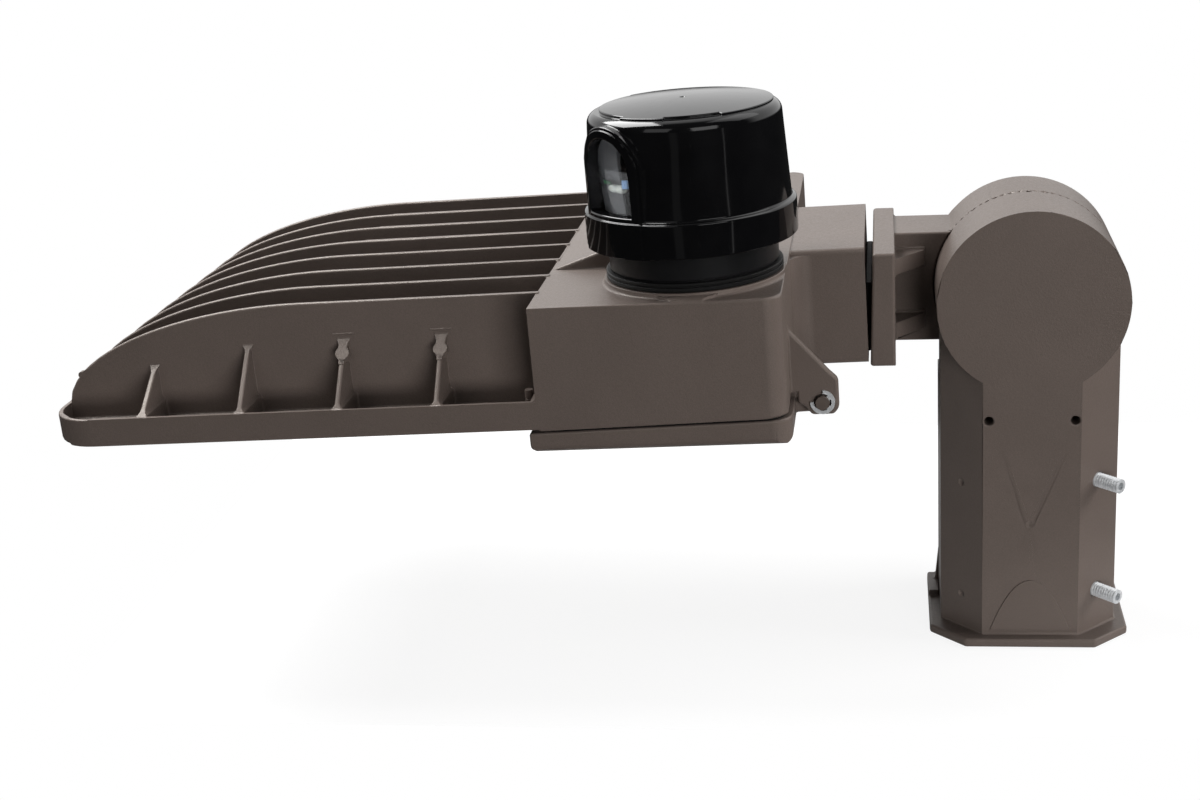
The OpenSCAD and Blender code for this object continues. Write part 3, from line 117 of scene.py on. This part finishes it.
class Nodes:
    """Short calls for building a node tree. They take and give output sockets."""

    def __init__(self, tree):
        self.tree = tree

    def feed(self, socket, value):
        """Gives an input a fixed value, or an output to follow."""
        if isinstance(value, bpy.types.NodeSocket):
            self.tree.links.new(value, socket)
        else:
            socket.default_value = value

    def node(self, kind, **values):
        """New node. A value is a setting of its own, or else it feeds the input of that name."""
        n = self.tree.nodes.new(kind)
        for k, v in values.items():
            if hasattr(n, k):
                setattr(n, k, v)
            else:
                self.feed(n.inputs[k.replace("_", " ")], v)
        return n

    def math(self, operation, a, b):
        """Result of this operation on two values or outputs."""
        n = self.node("ShaderNodeMath", operation=operation)
        self.feed(n.inputs[0], a)
        self.feed(n.inputs[1], b)
        return n.outputs[0]

    def mapped(self, value, low, high, to_low, to_high, curve="LINEAR"):
        """Turns the range from low to high into another one."""
        n = self.node("ShaderNodeMapRange", interpolation_type=curve, Value=value,
                      From_Min=low, From_Max=high, To_Min=to_low, To_Max=to_high)
        return n.outputs["Result"]


class Surface(Nodes):
    """A material whose shader takes its colour, gloss and relief from noise on the object."""

    def __init__(self, name):
        self.material = bpy.data.materials.new(name)
        self.material.use_nodes = True
        super().__init__(self.material.node_tree)
        self.shader = self.tree.nodes["Principled BSDF"]
        self.coords = self.node("ShaderNodeTexCoord").outputs["Object"]

    def set(self, **values):
        """Feeds the shader's inputs, such as Base_Color."""
        for k, v in values.items():
            self.feed(self.shader.inputs[k.replace("_", " ")], v)

    def noise(self, scale, detail, rough=0.55):
        """Noise on the object's own metres. A higher scale makes it finer."""
        n = self.node("ShaderNodeTexNoise", Vector=self.coords, Scale=scale, Detail=detail,
                      Roughness=rough)
        return n.outputs["Fac"]

    def two_tone(self, value, dark, pale, low=NOISE_LOW, high=NOISE_HIGH):
        """Colour that goes from dark to pale as the value goes from low to high."""
        n = self.node("ShaderNodeValToRGB", Fac=value)
        for stop, place, colour in zip(n.color_ramp.elements, (low, high), (dark, pale)):
            stop.position = place
            stop.color = colour
        return n.outputs["Color"]

    def gloss(self, value, least, most):
        """Roughness that follows the noise."""
        return self.mapped(value, NOISE_LOW, NOISE_HIGH, least, most)

    def bump(self, height, strength, depth, under=None):
        """Relief this deep in metres, on top of the relief under it."""
        n = self.node("ShaderNodeBump", Strength=strength, Distance=depth, Height=height)
        if under is not None:
            self.feed(n.inputs["Normal"], under)
        return n.outputs["Normal"]


PAINT = (0.108, 0.0865, 0.076)
PAINT_SPREAD = 0.05
WARM_SHEEN = (1.0, 0.92, 0.84, 1)


def bronze():
    """Fine-textured dark bronze powder coat."""
    m = Surface("bronze_paint")
    broad = m.noise(scale=26, detail=3)
    fine = m.noise(scale=900, detail=3, rough=0.6)
    grain = m.noise(scale=2600, detail=2, rough=0.6)
    tint = m.two_tone(broad, scaled(PAINT, 1 - PAINT_SPREAD), scaled(PAINT, 1 + PAINT_SPREAD))
    speck = m.two_tone(grain, (0.9, 0.9, 0.9, 1), (1.1, 1.09, 1.08, 1), low=0.35, high=0.65)
    colour = m.node("ShaderNodeMix", data_type="RGBA", blend_type="MULTIPLY",
                    Factor=1.0, A=tint, B=speck).outputs["Result"]
    ripple = m.bump(fine, strength=0.4, depth=0.2 * MM)
    m.set(Base_Color=colour, Roughness=m.gloss(fine, least=0.34, most=0.44),
          Normal=m.bump(grain, strength=0.45, depth=0.1 * MM, under=ripple),
          Metallic=0.0, IOR=1.5, Specular_Tint=WARM_SHEEN)
    return m.material


def zinc():
    """Bright zinc plate on the fasteners."""
    m = Surface("zinc_steel")
    n = m.noise(scale=700, detail=4)
    m.set(Base_Color=m.two_tone(n, srgb(206, 208, 210), srgb(234, 236, 238)),
          Roughness=m.gloss(n, least=0.32, most=0.48),
          Normal=m.bump(n, strength=0.1, depth=0.1 * MM), Metallic=0.5)
    return m.material


def gloss_black():
    """Polished black plastic of the photocell."""
    m = Surface("gloss_black")
    n = m.noise(scale=60, detail=3)
    fine = m.noise(scale=1800, detail=2)
    m.set(Base_Color=m.two_tone(n, srgb(7, 7, 8), srgb(11, 11, 12)),
          Roughness=m.gloss(n, least=0.06, most=0.12),
          Normal=m.bump(fine, strength=0.02, depth=0.05 * MM), IOR=1.5)
    return m.material


MATT_SPREAD = 0.06
MATT_ROUGH_SPREAD = 0.05


def matt(name, colour, rough, metallic=0.0):
    """Moulded or painted piece with a faint colour and gloss variation."""
    m = Surface(name)
    n = m.noise(scale=400, detail=4)
    tint = m.two_tone(n, scaled(colour, 1 - MATT_SPREAD), scaled(colour, 1 + MATT_SPREAD))
    m.set(Base_Color=tint,
          Roughness=m.gloss(n, rough - MATT_ROUGH_SPREAD, rough + MATT_ROUGH_SPREAD),
          Normal=m.bump(n, strength=0.12, depth=0.1 * MM), Metallic=metallic)
    return m.material


CLEAR_TINT = (0.95, 0.97, 1, 1)
CLEAR_ROUGH_SPREAD = 0.04


def clear(name, rough):
    """See-through moulded plastic."""
    m = Surface(name)
    n = m.noise(scale=300, detail=3)
    m.set(Base_Color=CLEAR_TINT, Roughness=m.gloss(n, rough, rough + CLEAR_ROUGH_SPREAD),
          Normal=m.bump(n, strength=0.03, depth=0.1 * MM), IOR=1.49, Transmission_Weight=1.0)
    return m.material


SLOTS = {
    "bronze_paint": bronze(),
    "zinc_steel": zinc(),
    "gloss_black": gloss_black(),
    "black_rubber": matt("black_rubber", srgb(14, 14, 14), 0.62),
    "white_board": matt("white_board", srgb(232, 232, 228), 0.35),
    "phosphor": matt("phosphor", srgb(236, 204, 96), 0.5),
    "clear_lens": clear("clear_lens", 0.05),
    "driver_case": matt("driver_case", srgb(190, 192, 194), 0.35, metallic=0.8),
    "black_case": matt("black_case", srgb(16, 16, 17), 0.42),
    "white_nylon": matt("white_nylon", srgb(230, 228, 220), 0.5),
    "lead_cover": matt("lead_cover", srgb(170, 30, 24), 0.45),
    "clear_pane": clear("clear_pane", 0.02),
    "brass_blades": matt("brass_blades", srgb(200, 168, 96), 0.28, metallic=0.9),
    "green_board": matt("green_board", srgb(24, 96, 52), 0.4),
    "clear_sensor": matt("clear_sensor", srgb(220, 224, 214), 0.2),
}
SLOT_OF = {s["node"]: s["material_slot"] for s in frame["record"]["subparts"]}
BODY_OF = {n: body for body, names in frame["record"]["behaviour"]["bodies"].items()
           for n in names}

for name, o in nodes.items():
    if o.type == "MESH":
        o.data.materials.clear()
        o.data.materials.append(SLOTS[SLOT_OF[name]])
# the lid's pins are dull, unlike the bright clips on them
nodes["hinge_pins"].data.materials[0] = matt("dull_pin", srgb(96, 86, 80), 0.45, metallic=0.3)

# ---------------------------------------------------------------- eased castings
# Each casting is shown by a copy of its CAD node with a bevel along every corner, as wide as the
# neighbours leave room for. Where that bevel folds or strays, the corners are narrowed and, after
# two rounds, left sharp. Plain faces then keep their own normals, and eased ones blend into them.
CORNER = math.radians(28)       # faces that meet at more than this make a corner
WELD = 0.01 * MM                # points nearer than this become one
FLAT = math.radians(0.6)        # faces that meet at less than this become one
GAP_SHARE = 0.45                # most that a corner takes of the gap to a corner beside it
SIDE_SHARE = 0.4                # most that it takes of a plain edge that it meets
NEXT_SHARE = 0.8                # most that it takes of a corner that it meets
OWN_SHARE = 0.4                 # most that it takes of its own length, at an acute turn
LEAST_SINE = 0.05               # keeps some easing where the turn is very acute
RUNS_ON = -0.86                 # cosine below which a corner simply runs on into the next one
TAPER = 0.25                    # how fast the easing may widen along a line of corners
TAPER_ROUNDS = 12
ALMOST = 1e-7                   # metres, a change that doesn't count
LEAST = 0.03 * MM               # easing narrower than this is left out
FOLD_AREA = 2e-8                # square metres, a fold smaller than this doesn't show
REACH = 1.7                     # how far an eased face may lie from its corner, in widths,
REACH_SLACK = 0.3 * MM          # and how much more
CUTS = (0.35, 0.35, 0.0, 0.0, 0.0)      # what each round leaves of a strained corner
SLIVER = 0.05 * MM              # a face thinner than this has no normal worth keeping
BLEND = 0.3                     # cosine above which eased faces that touch are shaded as one
PLAIN, EASED = 0, 1             # material places that tell plain faces from eased ones


def gap_between(e, g):
    """Least distance between two straight edges, taken at their ends."""
    best = math.inf
    for a, b in ((e, g), (g, e)):
        p, q = b.verts[0].co, b.verts[1].co
        for v in a.verts:
            t = intersect_point_line(v.co, p, q)[1]
            c = p.lerp(q, max(0.0, min(1.0, t)))
            best = min(best, (v.co - c).length)
    return best


def limit_beside(bm, w):
    """Corners of one face that don't touch share the gap between them."""
    for f in bm.faces:
        es = [e for e in f.edges if e in w]
        for i, e in enumerate(es):
            for g in es[i + 1:]:
                if set(e.verts) & set(g.verts):
                    continue
                d = gap_between(e, g)
                w[e] = min(w[e], GAP_SHARE * d)
                w[g] = min(w[g], GAP_SHARE * d)


def limit_ends(bm, w):
    """A corner stays clear of the far ends of the edges that it meets."""
    for v in bm.verts:
        for e in v.link_edges:
            if e not in w:
                continue
            along = (e.other_vert(v).co - v.co).normalized()
            for u in v.link_edges:
                if u is e or not set(u.link_faces) & set(e.link_faces):
                    continue
                cos = along.dot((u.other_vert(v).co - v.co).normalized())
                sin = math.sqrt(max(0.0, 1 - cos * cos))
                if u not in w:
                    w[e] = min(w[e], SIDE_SHARE * u.calc_length() * sin)
                elif cos > RUNS_ON:
                    w[e] = min(w[e], NEXT_SHARE * u.calc_length())
                    if cos > 0:
                        w[e] = min(w[e], OWN_SHARE * e.calc_length() * max(sin, LEAST_SINE))


def limit_taper(bm, w):
    """Along a line of corners the easing widens only slowly."""
    for _ in range(TAPER_ROUNDS):
        changed = False
        for v in bm.verts:
            es = [e for e in v.link_edges if e in w]
            if len(es) != 2:
                continue
            for p, q in (es, es[::-1]):
                most = w[q] + TAPER * p.calc_length()
                if w[p] > most + ALMOST:
                    w[p] = most
                    changed = True
        if not changed:
            break


def room(bm, width):
    """How wide each corner can be eased before it meets its neighbours."""
    w = {e: width for e in bm.edges
         if len(e.link_faces) == 2 and e.calc_face_angle(0) > CORNER}
    limit_beside(bm, w)
    limit_ends(bm, w)
    limit_taper(bm, w)
    return w


def corner_points(edges):
    """Search tree of points every millimetre or less along these edges."""
    pts = []
    for e in edges:
        steps = max(1, math.ceil(e.calc_length() / MM))
        pts += [e.verts[0].co.lerp(e.verts[1].co, i / steps) for i in range(steps + 1)]
    tree = KDTree(len(pts))
    for i, p in enumerate(pts):
        tree.insert(p, i)
    tree.balance()
    return tree


def strained(o, tree, width):
    """Points of faces that fold over themselves, and of eased ones that stray from their corner."""
    got = o.evaluated_get(bpy.context.evaluated_depsgraph_get())
    mesh = got.to_mesh()
    mesh.calc_loop_triangles()
    bad = {t.polygon_index for t in mesh.loop_triangles
           if t.area > FOLD_AREA and t.normal.dot(mesh.polygons[t.polygon_index].normal) < 0}
    away = [tree.find(v.co)[2] for v in mesh.vertices]
    farthest = REACH * width + REACH_SLACK
    bad |= {p.index for p in mesh.polygons
            if p.material_index == EASED and max(away[i] for i in p.vertices) > farthest}
    out = [mesh.vertices[i].co.copy() for p in bad for i in mesh.polygons[p].vertices]
    got.to_mesh_clear()
    return out


def near_any(e, points):
    """Whether an end or the middle of an edge is within a millimetre of one of the points."""
    own = (e.verts[0].co, e.verts[1].co, (e.verts[0].co + e.verts[1].co) / 2)
    return any((a - p).length < MM for p in points for a in own)


def sliver(mesh, p):
    """Whether a face is so thin that its own normal means nothing."""
    pts = [mesh.vertices[i].co for i in p.vertices]
    longest = max((a - b).length for a in pts for b in pts)
    return 2 * p.area < SLIVER * longest


def set_normals(mesh):
    """Flat and round faces keep their own normals; the eased corners blend from one to the next."""
    same = math.cos(CORNER)
    normal = [p.normal.copy() for p in mesh.polygons]
    area = [p.area for p in mesh.polygons]
    soft = [p.material_index == EASED or sliver(mesh, p) for p in mesh.polygons]
    around = [[] for _ in mesh.vertices]
    for p in mesh.polygons:
        for v in p.vertices:
            around[v].append(p.index)
    out = [None] * len(mesh.loops)
    for p in mesh.polygons:
        for i in p.loop_indices:
            near = around[mesh.loops[i].vertex_index]
            kept = [q for q in near if not soft[q]]
            if not soft[p.index]:
                ref, limit = p.index, same
            elif kept:
                ref, limit = max(kept, key=lambda q: normal[q].dot(normal[p.index])), same
            else:
                kept, ref, limit = near, p.index, BLEND
            n = Vector((0, 0, 0))
            for q in kept:
                if normal[q].dot(normal[ref]) > limit:
                    n += normal[q] * area[q]
            out[i] = n.normalized() if n.length > 0 else normal[p.index]
    mesh.normals_split_custom_set(out)


def simplified(name):
    """A node's mesh with its flat faces joined, and those with more than four sides cut again."""
    bm = bmesh.new()
    bm.from_mesh(nodes[name].data)
    bmesh.ops.remove_doubles(bm, verts=bm.verts, dist=WELD)
    bmesh.ops.dissolve_limit(bm, angle_limit=FLAT, verts=bm.verts, edges=bm.edges)
    bmesh.ops.triangulate(bm, faces=[f for f in bm.faces if len(f.verts) > 4],
                          quad_method="BEAUTY", ngon_method="BEAUTY")
    for f in bm.faces:
        f.smooth = True
    return bm


def eased(name, width, segments):
    """Shows a rigid CAD node by a copy with every corner eased as far as there is room."""
    bm = simplified(name)
    # made before the edges are looked up, because a new layer makes those found earlier invalid
    weight = bm.edges.layers.float.new("bevel_weight_edge")
    wide = room(bm, width)
    mesh = bpy.data.meshes.new(name + "_plain")
    for _ in (PLAIN, EASED):
        mesh.materials.append(SLOTS[SLOT_OF[name]])
    o = new_object(name + "_cast", mesh)
    bev = o.modifiers.new("ease", "BEVEL")
    bev.limit_method = "WEIGHT"
    bev.width = width
    bev.segments = segments
    bev.use_clamp_overlap = False
    bev.loop_slide = False
    bev.material = EASED
    tree = corner_points(wide)
    for left in CUTS:
        for e, v in wide.items():
            e[weight] = v / width if v > LEAST else 0.0
        bm.to_mesh(mesh)
        bad = strained(o, tree, width)
        if not bad:
            break
        for e in wide:
            if near_any(e, bad):
                wide[e] *= left
    bm.free()
    got = o.evaluated_get(bpy.context.evaluated_depsgraph_get())
    final = bpy.data.meshes.new_from_object(got)
    final.name = name + "_cast"
    o.modifiers.clear()
    o.data = final
    for p in final.polygons:
        p.use_smooth = True
    set_normals(final)
    for p in final.polygons:
        p.material_index = PLAIN
    final.materials.pop(index=EASED)
    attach(o, BODY_OF[name])
    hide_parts(name)


# node: widest easing in mm, steps across it
EASE = {
    "housing": (1.3, 3), "fitter_body": (1.2, 3), "knuckle_arm": (1.2, 3), "lid": (1.0, 3),
    "cell_cover": (0.8, 4), "receptacle": (0.6, 2), "receptacle_seal": (0.6, 2),
    "corner_studs": (0.5, 2), "neck_seal": (0.5, 2), "lid_seal": (0.4, 2),
}
for name, (mm, steps) in EASE.items():
    eased(name, mm * MM, steps)

# ---------------------------------------------------------------- the other nodes
NODE_WELD = 0.005 * MM
NODE_BEVEL = 0.15 * MM


def bevel(o, width, segments, degrees):
    """Rounds every corner sharper than this."""
    bev = o.modifiers.new("bevel", "BEVEL")
    bev.width = width
    bev.segments = segments
    bev.limit_method = "ANGLE"
    bev.angle_limit = math.radians(degrees)


for name, o in nodes.items():
    if name not in EASE and o.type == "MESH":
        o.modifiers.new("weld", "WELD").merge_threshold = NODE_WELD
        bevel(o, NODE_BEVEL, segments=2, degrees=32)

# ---------------------------------------------------------------- behind the photocell's window
# In mm about the photocell's axis: x across the window, the window towards -y, z up.
CELL_AT = (-0.1348, -0.0761, 0)
WINDOW_TURN = math.radians(-45)
WINDOW = (IN_HEAD @ Matrix.Translation(CELL_AT) @ Matrix.Rotation(WINDOW_TURN, 4, "Z")
          @ Matrix.Scale(MM, 4))
# painted reflection: a grey sheet cut to the slanting pale band that the pane shows
PAINTED_REFLECTION_BAND = [(-9.5, 206.7), (-13.6, 242.6), (-3.2, 243.6), (-1.9, 234.7), (2.4, 215.2), (3.2, 206.7)]
PAINTED_REFLECTION_Y = (-32.9, -31.9)
BEADS = [(-4.6, 0.5), (-4.3, 1.1), (-3.2, 1.5), (-1.6, 1.6), (-0.7, 1.3), (0.1, 1.5),
         (2.2, 1.65), (3.6, 1.2), (4.0, 0.6)]
BEADS_AT = (-0.9, -33.6, 225.5)
BEADS_SIDES = 32
GREEN_LEAD = [(-8.6, 226.9), (-8.4, 228.3), (-4.2, 228.0), (-4.4, 226.8)]
BLUE_LEAD = [(2.4, 225.8), (2.6, 229.2), (5.6, 229.4), (5.8, 226.2)]
LEADS_Y = (-34.4, -33.6)


def prism(outline, ys):
    """Flat piece with this outline, across and up, between two places along y."""
    bm = bmesh.new()
    front, back = ([bm.verts.new((x, y, z)) for x, z in outline] for y in ys)
    bm.faces.new(front)
    bm.faces.new(back[::-1])
    for i in range(len(outline)):
        j = (i + 1) % len(outline)
        bm.faces.new((front[j], front[i], back[i], back[j]))
    bmesh.ops.recalc_face_normals(bm, faces=bm.faces)
    return bm


def spun(profile, at, sides):
    """Closed piece turned about x, from pairs of place along x and radius."""
    bm = bmesh.new()
    turns = [math.tau * k / sides for k in range(sides)]
    rings = [[bm.verts.new((at[0] + x, at[1] + r * math.cos(t), at[2] + r * math.sin(t)))
              for t in turns] for x, r in profile]
    for a, b in zip(rings, rings[1:]):
        for k in range(sides):
            j = (k + 1) % sides
            bm.faces.new((a[k], a[j], b[j], b[k]))
    bm.faces.new(rings[0])
    bm.faces.new(rings[-1][::-1])
    bmesh.ops.recalc_face_normals(bm, faces=bm.faces)
    return bm


def place(name, bm, slot, ease, material=None):
    """Puts a small made piece behind the window, with its corners eased this many mm."""
    bmesh.ops.transform(bm, matrix=WINDOW, verts=bm.verts)
    for f in bm.faces:
        f.smooth = True
    mesh = bpy.data.meshes.new(name)
    bm.to_mesh(mesh)
    bm.free()
    mesh.materials.append(material or SLOTS[slot])
    o = new_object(name, mesh)
    bevel(o, ease * MM, segments=3, degrees=35)
    o.modifiers.new("normals", "WEIGHTED_NORMAL").keep_sharp = True
    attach(o, "photocell")


# a grey sheet cut to the slanting pale band on the pane, a painted reflection, and in front of it
# two clear beads with a waist between them and their two leads
place("cell_painted_reflection", prism(PAINTED_REFLECTION_BAND, PAINTED_REFLECTION_Y), "black_case", ease=0.2,
      material=matt("painted_reflection_grey", srgb(88, 88, 88), 0.35))
place("cell_bead", spun(BEADS, BEADS_AT, BEADS_SIDES), "clear_sensor", ease=0.1)
place("cell_lead_green", prism(GREEN_LEAD, LEADS_Y), "green_board", ease=0.15)
place("cell_lead_blue", prism(BLUE_LEAD, LEADS_Y), "clear_sensor", ease=0.15,
      material=matt("blue_film", srgb(132, 170, 214), 0.3))

# ---------------------------------------------------------------- world
# The camera sees white all round. Glossy surfaces mirror that white only behind the object and
# above the floor, and a dark room elsewhere.
WHITE = 1.0
ROOM = 0.015
AMBIENT = 0.02              # lights the object evenly from all round
BEHIND = (-0.15, 0.25)      # y of the directions between which the room gives way to the white
ABOVE = (-0.06, 0.06)       # and z

world = bpy.data.worlds.new("world")
bpy.context.scene.world = world
world.use_nodes = True
sky = Nodes(world.node_tree)
rays = sky.node("ShaderNodeLightPath").outputs
way = sky.node("ShaderNodeSeparateXYZ",
               Vector=sky.node("ShaderNodeTexCoord").outputs["Generated"]).outputs
behind = sky.mapped(way["Y"], *BEHIND, 0.0, 1.0, "SMOOTHSTEP")
above = sky.mapped(way["Z"], *ABOVE, 0.0, 1.0, "SMOOTHSTEP")
mirrored = sky.math("MAXIMUM", sky.math("MULTIPLY", behind, above), ROOM)
unseen = sky.node("ShaderNodeMix", data_type="FLOAT", Factor=rays["Is Glossy Ray"],
                  A=AMBIENT, B=mirrored).outputs["Result"]
seen = sky.math("MAXIMUM", rays["Is Camera Ray"], rays["Is Transmission Ray"])
level = sky.node("ShaderNodeMix", data_type="FLOAT", Factor=seen,
                 A=unseen, B=WHITE).outputs["Result"]
background = world.node_tree.nodes["Background"]
background.inputs["Color"].default_value = grey(1)
sky.feed(background.inputs["Strength"], level)

# ---------------------------------------------------------------- lamps
BODY = (-0.1, 0.0, 0.13)
CELL = (-0.135, -0.076, 0.2)


def lamp(name, at, towards, size, power, in_gloss=True):
    """A soft studio panel. Without in_gloss, glossy surfaces don't mirror it."""
    data = bpy.data.lights.new(name, "AREA")
    data.shape = "RECTANGLE"
    data.size, data.size_y = size
    data.energy = power
    o = new_object(name, data)
    o.location = at
    o.rotation_euler = (Vector(towards) - Vector(at)).to_track_quat("-Z", "Y").to_euler()
    o.visible_camera = False
    o.visible_glossy = in_gloss


# straight down
lamp("over_left", (-0.97, 0.33, 1.2), (-0.97, 0.33, 0.0), (1.06, 1.23), 45.0)
lamp("over_right", (0.74, 0.11, 1.2), (0.74, 0.11, 0.0), (1.13, 0.98), 3.5)
# from the front, the strongest of them level with the fins, so that each fin shades the next
lamp("key", (0.65, -1.5, 0.75), BODY, (0.9, 0.8), 4.0)
lamp("low", (0.65, -1.5, 0.12), (-0.1, 0.0, 0.12), (0.9, 0.4), 17.5, in_gloss=False)
lamp("left_fill", (-0.9, -1.5, 0.9), (-0.15, 0.0, 0.13), (0.9, 0.9), 2.0)
# from the right
lamp("right_high", (1.5, 0.1, 0.9), (0.0, 0.0, 0.15), (0.9, 0.9), 22.0, in_gloss=False)
# narrow panels that draw the thin upright lines on the photocell's polished wall
lamp("strip_front", (-0.316, -1.363, -0.12), CELL, (0.2, 0.8), 0.04)
lamp("strip_side", (0.846, -0.929, -0.12), CELL, (0.025, 0.8), 0.05)

# ---------------------------------------------------------------- floor
FLOOR_X = (-0.42, 0.12)
FLOOR_Y = (-0.12, 0.25)
FLOOR_Z = -0.0002           # just under the fitter
FLOOR_TONES = (0.79, 0.81)  # how pale the floor is for the light that it throws on the object
FLOOR_GLOW = 0.88           # what the camera sees of it without the lamps
FLOOR_IN_GLOSS = 0.25       # the same for glossy surfaces
FLOOR_LIT = 0.16            # what the lamps add, and the object's shadow takes away


def floor_material():
    """Pale floor: as white as the background, with the object's shadow left on it."""
    m = Surface("floor")
    rays = m.node("ShaderNodeLightPath").outputs
    tone = m.two_tone(m.noise(scale=30, detail=3), *(grey(v) for v in FLOOR_TONES))
    plain = m.node("ShaderNodeBsdfDiffuse", Color=tone)
    glow = m.node("ShaderNodeEmission", Strength=m.mapped(rays["Is Glossy Ray"], 0.0, 1.0,
                                                          FLOOR_GLOW, FLOOR_IN_GLOSS))
    lit = m.node("ShaderNodeBsdfDiffuse", Color=grey(FLOOR_LIT))
    white = m.node("ShaderNodeAddShader")
    m.feed(white.inputs[0], glow.outputs[0])
    m.feed(white.inputs[1], lit.outputs[0])
    looked_at = m.math("MAXIMUM", rays["Is Camera Ray"], rays["Is Glossy Ray"])
    looked_at = m.math("MAXIMUM", looked_at, rays["Is Transmission Ray"])
    mix = m.node("ShaderNodeMixShader", Fac=looked_at)
    m.feed(mix.inputs[1], plain.outputs[0])
    m.feed(mix.inputs[2], white.outputs[0])
    m.feed(m.tree.nodes["Material Output"].inputs["Surface"], mix.outputs[0])
    m.tree.nodes.remove(m.shader)
    return m.material


floor_mesh = bpy.data.meshes.new("floor")
corners = [(FLOOR_X[i], FLOOR_Y[j], FLOOR_Z) for i, j in ((0, 0), (1, 0), (1, 1), (0, 1))]
floor_mesh.from_pydata(corners, [], [(0, 1, 2, 3)])
floor_mesh.materials.append(floor_material())
floor = new_object("floor", floor_mesh)
